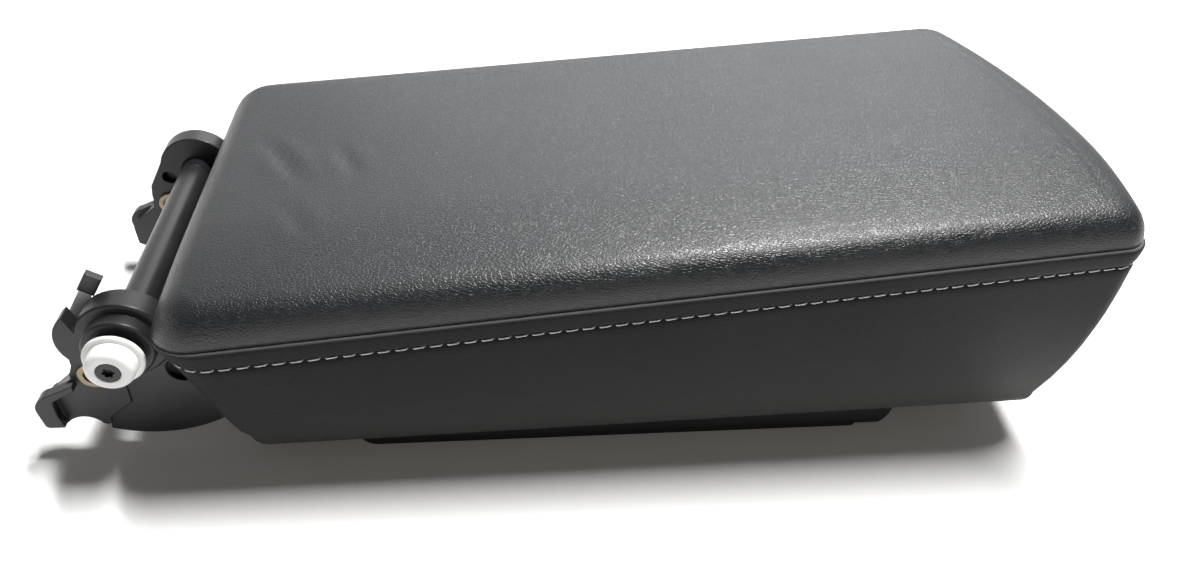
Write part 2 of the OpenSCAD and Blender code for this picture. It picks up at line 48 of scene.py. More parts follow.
# ---- Camera ----
# A phone held close in front of the armrest's left side and well above it, so that the lid looks
# wider at its near front corner. Its place, measured from the hinge's axis, and its turn come
# from the corners of the lid.
camera_from_hinge = (0.102496, -0.296462, 0.195185)
camera_turn_degrees = (54.014, -5.204, -8.171)
camera_lens, camera_sensor, camera_clip = 26.817, 36.0, 0.01

camera_data = bpy.data.cameras.new("camera")
camera_data.lens = camera_lens
camera_data.sensor_width = camera_sensor
camera_data.clip_start = camera_clip
camera = bpy.data.objects.new("camera", camera_data)
camera.location = Vector(frame["joints"][0]["pos_m"]) + Vector(camera_from_hinge)
camera.rotation_euler = Euler([np.radians(angle) for angle in camera_turn_degrees])
bpy.context.scene.collection.objects.link(camera)
bpy.context.scene.camera = camera
bpy.context.scene.view_settings.view_transform = "Standard"

# ---- Floor ----
# The white table that the armrest lies on. It is dull, and it meets the lowest face of the tray.
# It also glows with painted light: faint and warm next to the armrest, where it lifts and tints the cast shadow,
# and rising away from it to plain white, so that it fades into the white of the room as an overexposed table top
# does.
floor_half = 4.0
floor_colour, floor_roughness, floor_shine = (0.95, 0.95, 0.945, 1.0), 0.75, 0.2
# The painted glow: its warm tint and least strength next to the armrest, where it is painted light in the shadow,
# then the white it rises to and where that rise starts and ends
shadow_tint, shadow_lift = (1.0, 0.93, 0.80, 1.0), 0.05
plain_white, fade_start, fade_end = (1.0, 1.0, 1.0, 1.0), 0.34, 1.1


def mesh_piece(name, points, faces, smooth=True):
    """A new mesh object from an array of points and an array of faces, all in the part's frame."""
    mesh = bpy.data.meshes.new(name)
    mesh.from_pydata(np.asarray(points, float).tolist(), [], np.asarray(faces).tolist())
    mesh.polygons.foreach_set("use_smooth", [smooth] * len(mesh.polygons))
    mesh.update()
    piece = bpy.data.objects.new(name, mesh)
    bpy.context.scene.collection.objects.link(piece)
    return piece


def new_material(name):
    """A node material with its Principled shader, as (material, nodes, links, shader)."""
    material = bpy.data.materials.new(name)
    material.use_nodes = True
    tree = material.node_tree
    return material, tree.nodes, tree.links, tree.nodes["Principled BSDF"]


def blend(n, link, share, first, second):
    """A mix node that goes from the first colour to the second as the share goes from 0 to 1."""
    mix = n.new("ShaderNodeMix")
    mix.data_type = "RGBA"
    mix.inputs["A"].default_value, mix.inputs["B"].default_value = first, second
    link.new(share, mix.inputs["Factor"])
    return mix


def moved_range(n, link, value, start=0.0, end=1.0, low=0.0, high=1.0, curve="LINEAR"):
    """A value between start and end moved in proportion to between low and high, as a socket. The
    curve is a straight line, or a smooth step that is level at both ends."""
    mover = n.new("ShaderNodeMapRange")
    mover.interpolation_type = curve
    mover.inputs["From Min"].default_value, mover.inputs["From Max"].default_value = start, end
    mover.inputs["To Min"].default_value, mover.inputs["To Max"].default_value = low, high
    link.new(value, mover.inputs["Value"])
    return mover.outputs["Result"]


def of_two(n, link, operation, first, second):
    """The maximum or the product of two values, as a socket."""
    pair = n.new("ShaderNodeMath")
    pair.operation = operation
    link.new(first, pair.inputs[0])
    link.new(second, pair.inputs[1])
    return pair.outputs[0]


floor = mesh_piece("floor", [(-floor_half, -floor_half, 0), (floor_half, -floor_half, 0),
                             (floor_half, floor_half, 0), (-floor_half, floor_half, 0)],
                   [(0, 1, 2, 3)], smooth=False)
white_table, n, link, shader = new_material("white_table")
shader.inputs["Base Color"].default_value = floor_colour
shader.inputs["Roughness"].default_value = floor_roughness
shader.inputs["Specular IOR Level"].default_value = floor_shine
place = n.new("ShaderNodeTexCoord")
reach = n.new("ShaderNodeVectorMath")
reach.operation = "LENGTH"
link.new(place.outputs["Object"], reach.inputs[0])
fade = moved_range(n, link, reach.outputs["Value"], fade_start, fade_end, curve="SMOOTHSTEP")
glow = blend(n, link, fade, shadow_tint, plain_white)
link.new(glow.outputs["Result"], shader.inputs["Emission Color"])
# The glow shows only to camera rays and in reflections, so it adds no light to dull surfaces
strength = moved_range(n, link, fade, low=shadow_lift)
seen = n.new("ShaderNodeLightPath")
direct = of_two(n, link, "MAXIMUM", seen.outputs["Is Camera Ray"], seen.outputs["Is Glossy Ray"])
lift = of_two(n, link, "MULTIPLY", direct, strength)
link.new(lift, shader.inputs["Emission Strength"])
floor.data.materials.append(white_table)

# ---- Light ----
# A short ceiling tube almost straight overhead, which draws the band along the near roll and the
# dark shadow under the overhanging side, and one window behind the armrest, which adds only the
# sheen on its top. The room is brighter behind the armrest than on the camera's side.
sky_dim, sky_bright = (0.05, 0.05, 0.052, 1.0), (0.20, 0.21, 0.23, 1.0)
dim_until, bright_from = -0.1, 0.9
# Name, place, width, depth, power and colour
lamps = [("ceiling_tube", (0.32, 0.09, 1.39), 0.60, 0.12, 37.5, (1.0, 0.995, 0.985)),
         ("right_window", (0.26, 1.30, 0.75), 1.3, 0.50, 5.0, (0.95, 0.975, 1.0))]
lamp_aim = Vector((0.03, 0.0, 0.06))

world = bpy.data.worlds.new("room")
bpy.context.scene.world = world
world.use_nodes = True
n, link = world.node_tree.nodes, world.node_tree.links
ray = n.new("ShaderNodeTexCoord")
split = n.new("ShaderNodeSeparateXYZ")
link.new(ray.outputs["Generated"], split.inputs[0])
away = moved_range(n, link, split.outputs["Y"], dim_until, bright_from, curve="SMOOTHSTEP")
walls = blend(n, link, away, sky_dim, sky_bright)
sky = n["Background"]
link.new(walls.outputs["Result"], sky.inputs["Color"])
# Camera rays see plain white, and so do mirror rays that go off behind the armrest
plain = n.new("ShaderNodeBackground")
plain.inputs["Color"].default_value = plain_white
seen = n.new("ShaderNodeLightPath")
direct = of_two(n, link, "MAXIMUM", seen.outputs["Is Camera Ray"],
                seen.outputs["Is Transmission Ray"])
mirrored = of_two(n, link, "MULTIPLY", seen.outputs["Is Glossy Ray"], away)
either = n.new("ShaderNodeMixShader")
link.new(of_two(n, link, "MAXIMUM", direct, mirrored), either.inputs[0])
link.new(sky.outputs[0], either.inputs[1])
link.new(plain.outputs[0], either.inputs[2])
link.new(either.outputs[0], n["World Output"].inputs["Surface"])

for name, place, wide, deep, power, colour in lamps:
    light = bpy.data.lights.new(name, "AREA")
    light.shape, light.size, light.size_y = "RECTANGLE", wide, deep
    light.energy, light.color = power, colour
    lamp = bpy.data.objects.new(name, light)
    lamp.location = place
    lamp.rotation_euler = (lamp_aim - Vector(place)).to_track_quat("-Z", "Y").to_euler()
    # The window shows only in reflections
    lamp.visible_diffuse = name == "ceiling_tube"
    bpy.context.scene.collection.objects.link(lamp)

# ---- Top leather ----
# The lid's top panel: grained leatherette stretched over the foam, rolled down at its edges to
# the seam, where it is sewn to the side strip. The foam under it shows as a slight crown, a low
# near side and a few creases near the hinge end.
pad_length, pad_rear, pad_front = 0.330, 0.1625, 0.1637
lid_tilt, hinge_back, seam_rise = np.radians(7.0), 0.0135, 0.0088
hinge_at = np.array(frame["joints"][0]["pos_m"])
# The front's bow, and each corner's radius at the seam, what an inset takes off it, and its least
front_bow = 0.0098
rear_corner, rear_corner_loss, rear_corner_least = 0.016, 1.2, 0.004
front_corner, front_corner_loss, front_corner_least = 0.0075, 1 / 3, 0.002
# Height of the roll and the crown, the roll's run inwards on each side and its roundness, how
# the foam leans and sinks, and how the panel tucks in under the seam
crown_height, crown_rise, crown_fullness = 0.0164, 0.0008, 1.8
roll_side, roll_rear, roll_front, roll_round = 0.0100, 0.0090, 0.0136, 0.77
rear_wall_lean, near_sink, sink_width = 0.0048, 0.0050, 0.050
seam_tuck, seam_tuck_curve, seam_drop = 0.0016, 1.3, 0.0007
wave_count, wave_seed, wave_length, wave_height = 6, 3, 0.09, 0.0004
wave_spread = (0.6, 1.6)
# Creases pressed into the top: start, middle and end in the lid's x and y, width and depth
creases = [((0.0242, 0.0239), (0.0345, 0.0030), (0.0440, -0.0175), 0.0024, 0.0008),
           ((0.0517, 0.0135), (0.0577, -0.0016), (0.0623, -0.0163), 0.0020, 0.0006),
           ((0.0382, -0.0270), (0.0441, -0.0394), (0.0491, -0.0498), 0.0020, 0.0005)]
crease_steps, swell, swell_at, swell_width = 40, 0.45, 2.2, 1.2
# Mesh cells round the lid, cells over which the rim of the flat top is eased, and its smoothing
rear_turns, front_turns, side_cells, end_cells = 5, 7, 118, 58
eased_cells, rim_rows, rim_cells, smooth_passes, weld_gap = 6, 12, 5, 7, 0.00001


def lid_outline(side, rear, front):
    """Rings of the lid in plan, one for each set of insets. A ring is a rectangle with two rear
    and two front turns of its own radii; its sides then widen along x, and its front bows out by
    the square of y."""
    side, rear, front = (np.atleast_1d(np.asarray(v, float))[:, None] for v in (side, rear, front))
    rear_x, front_x, half_wide = rear, pad_length - front, pad_front / 2 - side
    rear_r = np.maximum(rear_corner - rear_corner_loss * side, rear_corner_least)
    front_r = np.maximum(front_corner - front_corner_loss * side, front_corner_least)
    rear_cx, rear_cy = rear_x + rear_r, half_wide - rear_r
    front_cx, front_cy = front_x - front_r, half_wide - front_r

    def steps(end, count):
        return np.linspace(0, end, count, endpoint=False)[None, :]

    def arc(cx, cy, r, degrees):
        a = np.radians(degrees)
        return np.stack([cx + r * np.cos(a), cy + r * np.sin(a) + 0 * cx], -1)

    def run(ax, ay, bx, by, share):
        return np.stack([ax + (bx - ax) * share, ay + (by - ay) * share], -1)

    # Round the lid from the middle of its rear near turn, each turn in two halves of 45 degrees
    half_rear, half_front = steps(45, rear_turns), steps(45, front_turns)
    along = steps(1, side_cells - rear_turns - front_turns)
    across_front = steps(1, end_cells - 2 * front_turns)
    across_rear = steps(1, end_cells - 2 * rear_turns)
    ring = np.concatenate([
        arc(rear_cx, -rear_cy, rear_r, 225 + half_rear),
        run(rear_cx, -half_wide, front_cx, -half_wide, along),
        arc(front_cx, -front_cy, front_r, 270 + half_front),
        arc(front_cx, -front_cy, front_r, 315 + half_front),
        run(front_x, -front_cy, front_x, front_cy, across_front),
        arc(front_cx, front_cy, front_r, half_front),
        arc(front_cx, front_cy, front_r, 45 + half_front),
        run(front_cx, half_wide, rear_cx, half_wide, along),
        arc(rear_cx, rear_cy, rear_r, 90 + half_rear),
        arc(rear_cx, rear_cy, rear_r, 135 + half_rear),
        run(rear_x, rear_cy, rear_x, -rear_cy, across_rear),
        arc(rear_cx, -rear_cy, rear_r, 180 + half_rear)], axis=1)
    x, y = ring[..., 0], ring[..., 1]
    half_here = (pad_rear + (pad_front - pad_rear) * x / pad_length) / 2
    y = y * (half_here - side) / half_wide
    x = x - front_bow * (2 * y / pad_front) ** 2 * (x - rear_x) / (front_x - rear_x)
    return x, y


def on_hinge(points):
    """Points of the lid's own frame, seam at z = 0, put into the part's frame: tilted about the
    hinge's axis."""
    x, y, z = points[..., 0] + hinge_back, points[..., 1], points[..., 2] + seam_rise
    c, s = np.cos(lid_tilt), np.sin(lid_tilt)
    return np.stack([hinge_at[0] + x * c - z * s, y, hinge_at[2] + x * s + z * c], -1)


def ring_faces(rows, columns):
    """Quads between rows of points, each row closed on itself, facing out where rows run up."""
    i, j = np.meshgrid(np.arange(rows - 1), np.arange(columns), indexing="ij")
    a, b = i * columns + j, i * columns + (j + 1) % columns
    return np.stack([a, b, b + columns, a + columns], -1).reshape(-1, 4)


def smooth_step(share):
    """A share between 0 and 1 eased at both ends: its square times three less twice itself."""
    return share ** 2 * (3 - 2 * share)


def crease_depth(x, y):
    """How far the creases pull the top down: along each arc through three points, a Gauss curve
    across the distance from it, less a low swell beside it, faded out towards both ends."""
    depth = np.zeros_like(x)
    share = np.linspace(0, 1, crease_steps)[:, None]
    for start, middle, end, width, deep in creases:
        start, middle, end = np.array(start), np.array(middle), np.array(end)
        line = ((1 - share) ** 2 * start + share ** 2 * end
                + 2 * share * (1 - share) * (2 * middle - (start + end) / 2))
        away = np.hypot(x[..., None] - line[:, 0], y[..., None] - line[:, 1])
        fade = np.sin(np.pi * (away.argmin(-1) + 0.5) / crease_steps)
        off = away.min(-1) / width
        beside = swell * np.exp(-((off - swell_at) / swell_width) ** 2)
        depth += deep * fade * (np.exp(-off ** 2) - beside)
    return depth


def waves(x, y):
    """The mean of a few slow sine waves in fixed directions, for leather that isn't quite flat."""
    draw = np.random.default_rng(wave_seed)
    total = np.zeros_like(x)
    for _ in range(wave_count):
        turn, start = draw.uniform(0, 2 * np.pi, 2)
        pitch = wave_length * draw.uniform(*wave_spread)
        total += np.sin(2 * np.pi * (x * np.cos(turn) + y * np.sin(turn)) / pitch + start)
    return wave_height * total / wave_count


def sunk(y):
    """Share of its height that the foam keeps: less towards the near side, by the square of the
    distance inside a band along that side."""
    inside = np.clip((sink_width - y - pad_front / 2) / sink_width, 0, 1)
    return 1 - near_sink / crown_height * inside ** 2


# The roll climbs from the seam at 0 degrees to the flat top at 90; the rows below 0 tuck under
roll_degrees = np.array([-40, -25, -12, 0, 8, 16, 24, 32, 40, 47, 54, 60, 66, 71, 76, 81, 86, 90])
roll = np.radians(np.maximum(roll_degrees, 0))
under = np.maximum(roll_degrees / roll_degrees[0], 0)
roll_in = 1 - np.cos(roll).clip(0, 1) ** roll_round
rear_in = roll_rear * (1 - np.cos(roll)) + rear_wall_lean * np.sin(roll)
tucked = seam_tuck * under ** seam_tuck_curve
roll_z = crown_height * np.sin(roll) - seam_drop * under
x, y = lid_outline(roll_side * roll_in + tucked, rear_in + tucked, roll_front * roll_in + tucked)
rolled = np.stack([x, y, roll_z[:, None] * sunk(y)], -1)

# The flat of the top is a grid stretched between the four sides of the last ring
x, y = lid_outline(roll_side * roll_in[-1], rear_in[-1], roll_front * roll_in[-1])
edge = np.stack([x[0], y[0]], -1)
nx, ny = side_cells, end_cells
near, front_edge = edge[:nx + 1], edge[nx:nx + ny + 1]
far = edge[nx + ny:2 * nx + ny + 1][::-1]
rear_edge = np.concatenate([edge[2 * nx + ny:], edge[:1]])[::-1]
s = np.linspace(0, 1, nx + 1)[:, None, None]
t = np.linspace(0, 1, ny + 1)[None, :, None]
flat = ((1 - t) * near[:, None] + t * far[:, None] + (1 - s) * rear_edge[None]
        + s * front_edge[None] - (1 - s) * (1 - t) * near[0] - s * (1 - t) * near[-1]
        - (1 - s) * t * far[0] - s * t * far[-1])
drum = smooth_step(4 * t * (1 - t)) * smooth_step(np.clip(4 * s * (1 - s) * crown_fullness, 0, 1))
inner = np.minimum(np.minimum(s, 1 - s) * nx, np.minimum(t, 1 - t) * ny)[..., 0] / eased_cells
inner = smooth_step(inner.clip(0, 1))
height = (crown_height * sunk(flat[..., 1]) + crown_rise * drum[..., 0]
          + inner * (waves(flat[..., 0], flat[..., 1]) - crease_depth(flat[..., 0], flat[..., 1])))
crown = np.concatenate([flat, height[..., None]], -1)

# Grid points are numbered after the rings; the rim of the grid closes the last ring
rows, columns = rolled.shape[:2]
points = np.concatenate([rolled.reshape(-1, 3), crown.reshape(-1, 3)])
grid = rows * columns + np.arange((nx + 1) * (ny + 1)).reshape(nx + 1, ny + 1)
rim = np.concatenate([grid[:-1, 0], grid[-1, :-1], grid[:0:-1, -1], grid[0, :0:-1]])
last = (rows - 1) * columns + np.arange(columns)
faces = np.concatenate([
    ring_faces(rows, columns),
    np.stack([last, np.roll(last, -1), np.roll(rim, -1), rim], -1),
    np.stack([grid[:-1, :-1], grid[1:, :-1], grid[1:, 1:], grid[:-1, 1:]], -1).reshape(-1, 4)])
top_leather = mesh_piece("top_leather", on_hinge(points), faces)

# The rings and the grid are welded along the rim, and a band on both sides of it is smoothed
from_s = np.minimum(np.arange(nx + 1), nx - np.arange(nx + 1))
from_t = np.minimum(np.arange(ny + 1), ny - np.arange(ny + 1))
near_rim = np.minimum(from_s[:, None], from_t[None]) < rim_cells
chosen = np.concatenate([np.repeat(np.arange(rows) >= rim_rows, columns), near_rim.ravel()])
weld = bmesh.new()
weld.from_mesh(top_leather.data)
band = [point for point, take in zip(weld.verts, chosen) if take]
bmesh.ops.remove_doubles(weld, verts=weld.verts[:], dist=weld_gap)
band = [point for point in band if point.is_valid]
for _ in range(smooth_passes):
    bmesh.ops.smooth_vert(weld, verts=band, factor=0.5,
                          use_axis_x=True, use_axis_y=True, use_axis_z=True)
weld.to_mesh(top_leather.data)
weld.free()
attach(top_leather, "lid")
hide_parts("top_cover", "foam_core")

# The leather grain is one effect for both leathers: small slanted pebbles between fine valleys.
# Their outlines are bent a little by noise, and a slow noise gives the patches.
grain_bend_scale, grain_bend = 300.0, (0.0012, 0.0012, 0.0012)
grain_turn, grain_stretch = (0.0, 0.0, np.radians(38)), (0.62, 1.25, 1.0)
grain_valley, patch_scale = 0.22, 22.0
patch_low, patch_high = 0.3, 0.7


def noise(n, link, place, scale=1.0, detail=2.0):
    """A node of cloudy noise over the piece's own coordinates."""
    cloud = n.new("ShaderNodeTexNoise")
    cloud.inputs["Scale"].default_value, cloud.inputs["Detail"].default_value = scale, detail
    link.new(place.outputs["Object"], cloud.inputs["Vector"])
    return cloud


grain = bpy.data.node_groups.new("leather_grain", "ShaderNodeTree")
grain.interface.new_socket("Pebble Size", in_out="INPUT", socket_type="NodeSocketFloat")
grain.interface.new_socket("Height", in_out="OUTPUT", socket_type="NodeSocketFloat")
grain.interface.new_socket("Patch", in_out="OUTPUT", socket_type="NodeSocketFloat")
n, link = grain.nodes, grain.links
given, put = n.new("NodeGroupInput"), n.new("NodeGroupOutput")
place = n.new("ShaderNodeTexCoord")
bent = noise(n, link, place, grain_bend_scale, detail=1.0)
warp = n.new("ShaderNodeVectorMath")
warp.operation = "MULTIPLY_ADD"
warp.inputs[1].default_value = grain_bend
link.new(bent.outputs["Color"], warp.inputs[0])
link.new(place.outputs["Object"], warp.inputs[2])
slanted = n.new("ShaderNodeMapping")
slanted.inputs["Rotation"].default_value = grain_turn
slanted.inputs["Scale"].default_value = grain_stretch
link.new(warp.outputs[0], slanted.inputs["Vector"])
per_metre = n.new("ShaderNodeMath")
per_metre.operation = "DIVIDE"
per_metre.inputs[0].default_value = 1.0
link.new(given.outputs["Pebble Size"], per_metre.inputs[1])
pebbles = n.new("ShaderNodeTexVoronoi")
pebbles.feature = "DISTANCE_TO_EDGE"
link.new(slanted.outputs["Vector"], pebbles.inputs["Vector"])
link.new(per_metre.outputs[0], pebbles.inputs["Scale"])
dome = moved_range(n, link, pebbles.outputs["Distance"], end=grain_valley, curve="SMOOTHSTEP")
link.new(dome, put.inputs["Height"])
patch = noise(n, link, place, patch_scale, detail=3.0)
link.new(patch.outputs["Fac"], put.inputs["Patch"])


def leather_material(name, dark, light, roughness, shine, pebble, depth, painted_sheen=None):
    """Black leatherette: its grain drives a fine bump, and slow patches shift its colour and gloss. Where a colour
    is given, an attribute of the piece fades it towards that paler colour, which paints in highlights and
    reflected light."""
    material, n, link, shader = new_material(name)
    grained = n.new("ShaderNodeGroup")
    grained.node_tree = grain
    grained.inputs["Pebble Size"].default_value = pebble
    colour = blend(n, link, grained.outputs["Patch"], dark, light)
    if painted_sheen:
        # Painted highlight and reflection: the paler colour mixed in by the piece's mask
        mask = n.new("ShaderNodeAttribute")
        mask.attribute_name = "painted_sheen"
        faded = blend(n, link, mask.outputs["Fac"], light, painted_sheen)
        link.new(colour.outputs["Result"], faded.inputs["A"])
        colour = faded
    link.new(colour.outputs["Result"], shader.inputs["Base Color"])
    gloss = moved_range(n, link, grained.outputs["Patch"], patch_low, patch_high, *roughness)
    link.new(gloss, shader.inputs["Roughness"])
    shader.inputs["Specular IOR Level"].default_value = shine
    raised = n.new("ShaderNodeBump")
    raised.inputs["Distance"].default_value = depth
    link.new(grained.outputs["Height"], raised.inputs["Height"])
    link.new(raised.outputs["Normal"], shader.inputs["Normal"])
    return material


top_leather.data.materials.append(leather_material(
    "top_leatherette", dark=(0.011, 0.012, 0.0135, 1), light=(0.015, 0.016, 0.0175, 1),
    roughness=(0.37, 0.42), shine=0.58, pebble=0.0009, depth=0.00006))

# ---- Side leather ----
# One strip of the same leatherette sewn to the top all round, laid down over the foam and turned
# under the lid. The seam allowance lies flat behind it, held by the top stitching below the seam.
skirt_rear, skirt_front = 0.0575, 0.0875
# How far each wall leans in from the seam down to the turn, and the power by which it does so
side_lean, side_curve = 0.0137, 2
rear_lean, rear_curve = 0.0159, 1
front_lean, front_curve = 0.0135, 3
turn_radius, tuck_side, tuck_rear = 0.0079, 0.012, 0.004
leather_thick, seam_zone = 0.0014, 0.0125
# Painted light on the strip: the paler colour painted in, and how much of it goes on the first rows at the seam's
# lip as a painted highlight, on the wall, and at the low edge as painted reflection of the floor
sheen_colour = (0.13, 0.13, 0.125, 1.0)
seam_lip_highlight, wall_sheen, low_edge_sheen = (0.3, 1.0, 0.45, 0.05, 0.01), 0.02, 0.38

# The strip's rows below the seam: how far down each lies, and how far it stands out of the wall
down = np.array([0.0003, 0.0003, 0.0005, 0.0009, 0.0015, 0.0026, 0.0045, 0.0062, 0.0070, 0.0076,
                 0.0080, 0.0084, 0.0090, 0.0100, 0.0125, 0.017, 0.022, 0.026, 0.031, 0.036,
                 0.041, 0.0465])
proud = np.array([-0.0012, 0.0002, 0.0007, 0.0010, 0.0011, 0.0010, 0.0008, 0.0005, 0.0002, -0.0003,
                  -0.0005, -0.0003, 0.0, 0.0003, 0.0003, 0.0002, 0.0001, 0.0, 0.0, 0.0, 0.0, 0.0])
shares = down / down[-1]
# The turn under the lid is a quarter circle in steps of ten degrees; one more row tucks in
turn = np.radians(np.arange(10, 91, 10))
turn_rows = len(turn) + 1


def strip_inset(lean, curve, tuck):
    """How far in from the seam each row lies: down the wall by a power of its share of the
    height, less what it stands proud, then round the turn, and last in by the tuck."""
    return np.concatenate([lean * shares ** curve - proud,
                           lean + turn_radius * (1 - np.cos(turn)), [lean + turn_radius + tuck]])


x, y = lid_outline(strip_inset(side_lean, side_curve, tuck_side),
                   strip_inset(rear_lean, rear_curve, tuck_rear),
                   strip_inset(front_lean, front_curve, tuck_side))
skirt = skirt_rear + (skirt_front - skirt_rear) * x / pad_length
# Rows near the seam keep their real distance from it; lower rows share the rest of the height
fixed = np.concatenate([down, np.full(turn_rows, down[-1])])[:, None]
ease = np.clip((fixed - seam_zone) / (down[-1] - seam_zone), 0, 1)
lower = fixed + (skirt - turn_radius - down[-1]) * ease
turned = np.concatenate([np.zeros(len(down)), turn_radius * np.sin(turn), [turn_radius]])[:, None]
outer = np.stack([x, y, -lower - turned], -1)[::-1]
rows, columns = outer.shape[:2]
side_leather = mesh_piece("side_leather", on_hinge(outer.reshape(-1, 3)),
                          ring_faces(rows, columns))
thick = side_leather.modifiers.new("leather thickness", "SOLIDIFY")
thick.thickness, thick.offset = leather_thick, -1.0
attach(side_leather, "lid")
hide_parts("side_cover")
# Paler by painted light: a painted highlight along the seam's lip, and a painted reflection of the floor that
# grows down the wall and round its low edge
sheen_by_row = np.concatenate([wall_sheen + (low_edge_sheen - wall_sheen) * shares ** 3,
                       np.full(turn_rows, low_edge_sheen)])
sheen_by_row[:len(seam_lip_highlight)] = seam_lip_highlight
sheen_mask = side_leather.data.attributes.new("painted_sheen", "FLOAT", "POINT")
sheen_mask.data.foreach_set("value", np.repeat(sheen_by_row[::-1], columns).astype(np.float32))
side_leather.data.materials.append(leather_material(
    "side_leatherette", dark=(0.0075, 0.0083, 0.0092, 1), light=(0.0105, 0.0113, 0.0122, 1),
    roughness=(0.50, 0.58), shine=0.12, pebble=0.0008, depth=0.00005, painted_sheen=sheen_colour))

# ---- Top stitching ----
# Light grey sewing thread, one row all round about eight millimetres under the seam. Each stitch dips into the
# leather at both ends and lies a little slanted, and between it and the next a small dark oval paints the shade
# inside the needle's hole.
stitch_pitch, stitch_long, stitch_thick, stitch_slant = 0.0053, 0.0046, 0.00031, 0.00030
stitch_bow, stitch_sunk, stitch_square = 0.00042, 0.00010, 6
stitch_end, stitch_end_least = 1.02, 0.03
stitch_rings, stitch_sides = 7, 8
hole_long, hole_high, hole_proud, hole_sides = 0.00055, 0.00035, 0.00008, 10
thread_dark, thread_light = (0.62, 0.61, 0.57, 1.0), (0.82, 0.81, 0.77, 1.0)
# Near-black colours of the painted shade in the needle holes
hole_shade_dark, hole_shade_light = (0.003, 0.003, 0.003, 1.0), (0.006, 0.006, 0.006, 1.0)
# The strip's row that the thread follows, a higher row for its up direction, and the distance
# ahead that gives its direction along the row
stitch_row, row_above, look_ahead = 10, 7, 0.0008


def along_ring(ring, count):
    """Points and unit tangents at equal steps along a closed ring of points, and its length."""
    closed = np.concatenate([ring, ring[:1]])
    step = np.linalg.norm(np.diff(closed, axis=0), axis=1)
    length = np.concatenate([[0], np.cumsum(step)])

    def at(distance):
        return np.stack([np.interp(distance, length, closed[:, k]) for k in range(3)], -1)

    here = np.arange(count) / count * length[-1]
    point = at(here)
    tangent = at((here + look_ahead) % length[-1]) - point
    return point, tangent / np.linalg.norm(tangent, axis=1, keepdims=True), length[-1]


def fibre_material(name, dark, light, roughness, shine, scale, depth):
    """A dull finish of fine fibres: one noise shifts its colour and lifts its surface."""
    material, n, link, shader = new_material(name)
    fibres = noise(n, link, n.new("ShaderNodeTexCoord"), scale)
    tone = blend(n, link, fibres.outputs["Fac"], dark, light)
    link.new(tone.outputs["Result"], shader.inputs["Base Color"])
    shader.inputs["Roughness"].default_value = roughness
    shader.inputs["Specular IOR Level"].default_value = shine
    raised = n.new("ShaderNodeBump")
    raised.inputs["Distance"].default_value = depth
    link.new(fibres.outputs["Fac"], raised.inputs["Height"])
    link.new(raised.outputs["Normal"], shader.inputs["Normal"])
    return material


# Each stitch has its own along, up and out directions on the side leather
ring, above = outer[rows - 1 - stitch_row], outer[rows - 1 - row_above]
count = int(round(along_ring(ring, 1)[2] / stitch_pitch))
centre, tangent, _ = along_ring(ring, count)
up = along_ring(above, count)[0] - centre
up -= tangent * (up * tangent).sum(1, keepdims=True)
up /= np.linalg.norm(up, axis=1, keepdims=True)
out = np.cross(tangent, up)
out /= np.linalg.norm(out, axis=1, keepdims=True)

# One stitch is a bowed tube whose ends narrow, by a high power of the way to the end
lengthways = np.linspace(-1, 1, stitch_rings)
around = np.linspace(0, 2 * np.pi, stitch_sides, endpoint=False)
bow = stitch_bow * (1 - lengthways ** stitch_square) - stitch_sunk
narrowed = np.sqrt(np.clip(stitch_end - lengthways ** stitch_square, stitch_end_least, 1))
thickness = (stitch_thick * narrowed)[:, None]
local = np.stack([np.broadcast_to((stitch_long / 2 * lengthways)[:, None],
                                  (stitch_rings, stitch_sides)),
                  (stitch_slant * lengthways)[:, None] + thickness * np.sin(around),
                  bow[:, None] + thickness * np.cos(around)], -1)
placed = (centre[:, None, None] + local[None, ..., 0:1] * tangent[:, None, None]
          + local[None, ..., 1:2] * up[:, None, None] + local[None, ..., 2:3] * out[:, None, None])
one_stitch = ring_faces(stitch_rings, stitch_sides)[:, [0, 3, 2, 1]]
first_points = stitch_rings * stitch_sides * np.arange(count)
top_stitches = mesh_piece("top_stitches", on_hinge(placed.reshape(-1, 3)),
                          (one_stitch[None] + first_points[:, None, None]).reshape(-1, 4))
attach(top_stitches, "lid")
top_stitches.data.materials.append(fibre_material(
    "grey_thread", thread_dark, thread_light, roughness=0.7, shine=0.5,
    scale=1800.0, depth=0.00006))

# The needle holes: a small dark oval of painted shade between each stitch and the next
hole_at, hole_along = (values[1::2] for values in along_ring(ring, 2 * count)[:2])
hole_up = np.cross(hole_along, out)
around = np.linspace(0, 2 * np.pi, hole_sides, endpoint=False)[:, None]
oval = (hole_at[:, None] + hole_long * np.cos(around) * hole_along[:, None]
        + hole_high * np.sin(around) * hole_up[:, None] + hole_proud * out[:, None])
needle_hole_shade = mesh_piece("needle_hole_shade", on_hinge(oval.reshape(-1, 3)),
                          np.arange(hole_sides * count).reshape(count, hole_sides))
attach(needle_hole_shade, "lid")
needle_hole_shade.data.materials.append(fibre_material(
    "needle_hole_painted_shade", hole_shade_dark, hole_shade_light, roughness=0.9, shine=0.1,
    scale=2400.0, depth=0.00002))

# ---- Mouldings and metal of the hinge, tray and carrier ----
# The brackets bolt to the console, the tube turns on an axle between them, and the tray is
# screwed under the lid. The CAD pieces keep their shapes and get their finishes here: moulded
# plastic with a fine spark texture, satin black and bright steel, dull brass and white bushes.
edge_radius, edge_samples = 0.0007, 6
texture_detail, dust_scale, dust_detail = 2.0, 60.0, 4.0
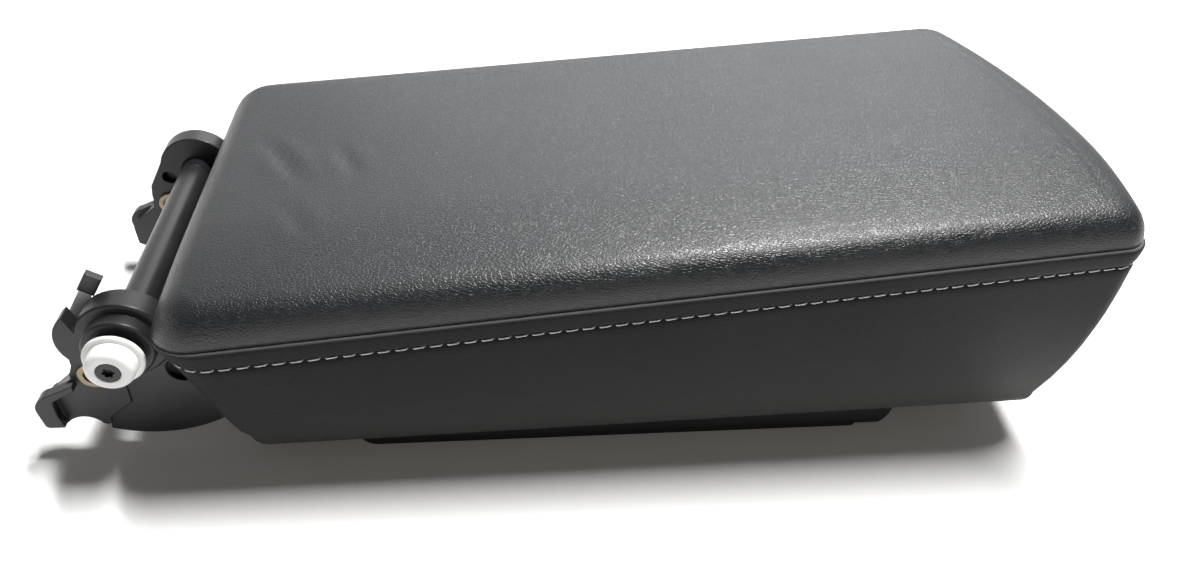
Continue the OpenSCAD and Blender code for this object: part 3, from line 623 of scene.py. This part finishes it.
# Slot, darkest and lightest colour, least and greatest roughness, texture's scale and depth, and
# how metallic it is
finish_rows = [
    ("moulded_black", (0.010, 0.010, 0.011, 1), (0.018, 0.018, 0.019, 1),
     (0.34, 0.46), 2600.0, 0.00003, 0.0),
    ("tray_black", (0.014, 0.014, 0.014, 1), (0.024, 0.024, 0.024, 1),
     (0.42, 0.55), 2200.0, 0.00003, 0.0),
    ("bush_white", (0.90, 0.90, 0.885, 1), (0.94, 0.94, 0.93, 1),
     (0.28, 0.36), 900.0, 0.000004, 0.0),
    ("dark_steel", (0.035, 0.035, 0.036, 1), (0.055, 0.055, 0.057, 1),
     (0.30, 0.40), 1200.0, 0.00001, 0.6),
    ("bright_steel", (0.90, 0.90, 0.89, 1), (0.95, 0.95, 0.94, 1),
     (0.26, 0.36), 1500.0, 0.000004, 0.05),
    ("sleeve_brass", (0.24, 0.20, 0.14, 1), (0.32, 0.27, 0.19, 1),
     (0.34, 0.46), 1200.0, 0.00001, 1.0),
    ("cap_rubber", (0.012, 0.012, 0.012, 1), (0.02, 0.02, 0.02, 1),
     (0.28, 0.36), 1200.0, 0.00001, 0.0),
    ("liner_plastic", (0.010, 0.010, 0.011, 1), (0.018, 0.018, 0.02, 1),
     (0.22, 0.30), 1500.0, 0.00001, 0.0),
]

cast = bpy.data.node_groups.new("fine_texture", "ShaderNodeTree")
cast.interface.new_socket("Scale", in_out="INPUT", socket_type="NodeSocketFloat")
cast.interface.new_socket("Height", in_out="OUTPUT", socket_type="NodeSocketFloat")
cast.interface.new_socket("Dust", in_out="OUTPUT", socket_type="NodeSocketFloat")
n, link = cast.nodes, cast.links
given, put = n.new("NodeGroupInput"), n.new("NodeGroupOutput")
place = n.new("ShaderNodeTexCoord")
fine = noise(n, link, place, detail=texture_detail)
link.new(given.outputs["Scale"], fine.inputs["Scale"])
link.new(fine.outputs["Fac"], put.inputs["Height"])
dust = noise(n, link, place, dust_scale, detail=dust_detail)
link.new(dust.outputs["Fac"], put.inputs["Dust"])


def textured_material(name, dark, light, roughness, scale, depth, metallic):
    """A moulded or metal finish: fine texture for the bump, slow patches for colour and gloss, and
    edges softened by a rounded normal."""
    material, n, link, shader = new_material(name)
    surface = n.new("ShaderNodeGroup")
    surface.node_tree = cast
    surface.inputs["Scale"].default_value = scale
    colour = blend(n, link, surface.outputs["Dust"], dark, light)
    link.new(colour.outputs["Result"], shader.inputs["Base Color"])
    gloss = moved_range(n, link, surface.outputs["Dust"], patch_low, patch_high, *roughness)
    link.new(gloss, shader.inputs["Roughness"])
    rounded = n.new("ShaderNodeBevel")
    rounded.samples = edge_samples
    rounded.inputs["Radius"].default_value = edge_radius
    raised = n.new("ShaderNodeBump")
    raised.inputs["Distance"].default_value = depth
    link.new(rounded.outputs["Normal"], raised.inputs["Normal"])
    link.new(surface.outputs["Height"], raised.inputs["Height"])
    link.new(raised.outputs["Normal"], shader.inputs["Normal"])
    shader.inputs["Metallic"].default_value = metallic
    return material


finishes = {row[0]: textured_material(*row) for row in finish_rows}
for part in frame["record"]["subparts"]:
    if part["material_slot"] in finishes:
        node = nodes[part["node"]]
        node.data.materials.clear()
        node.data.materials.append(finishes[part["material_slot"]])
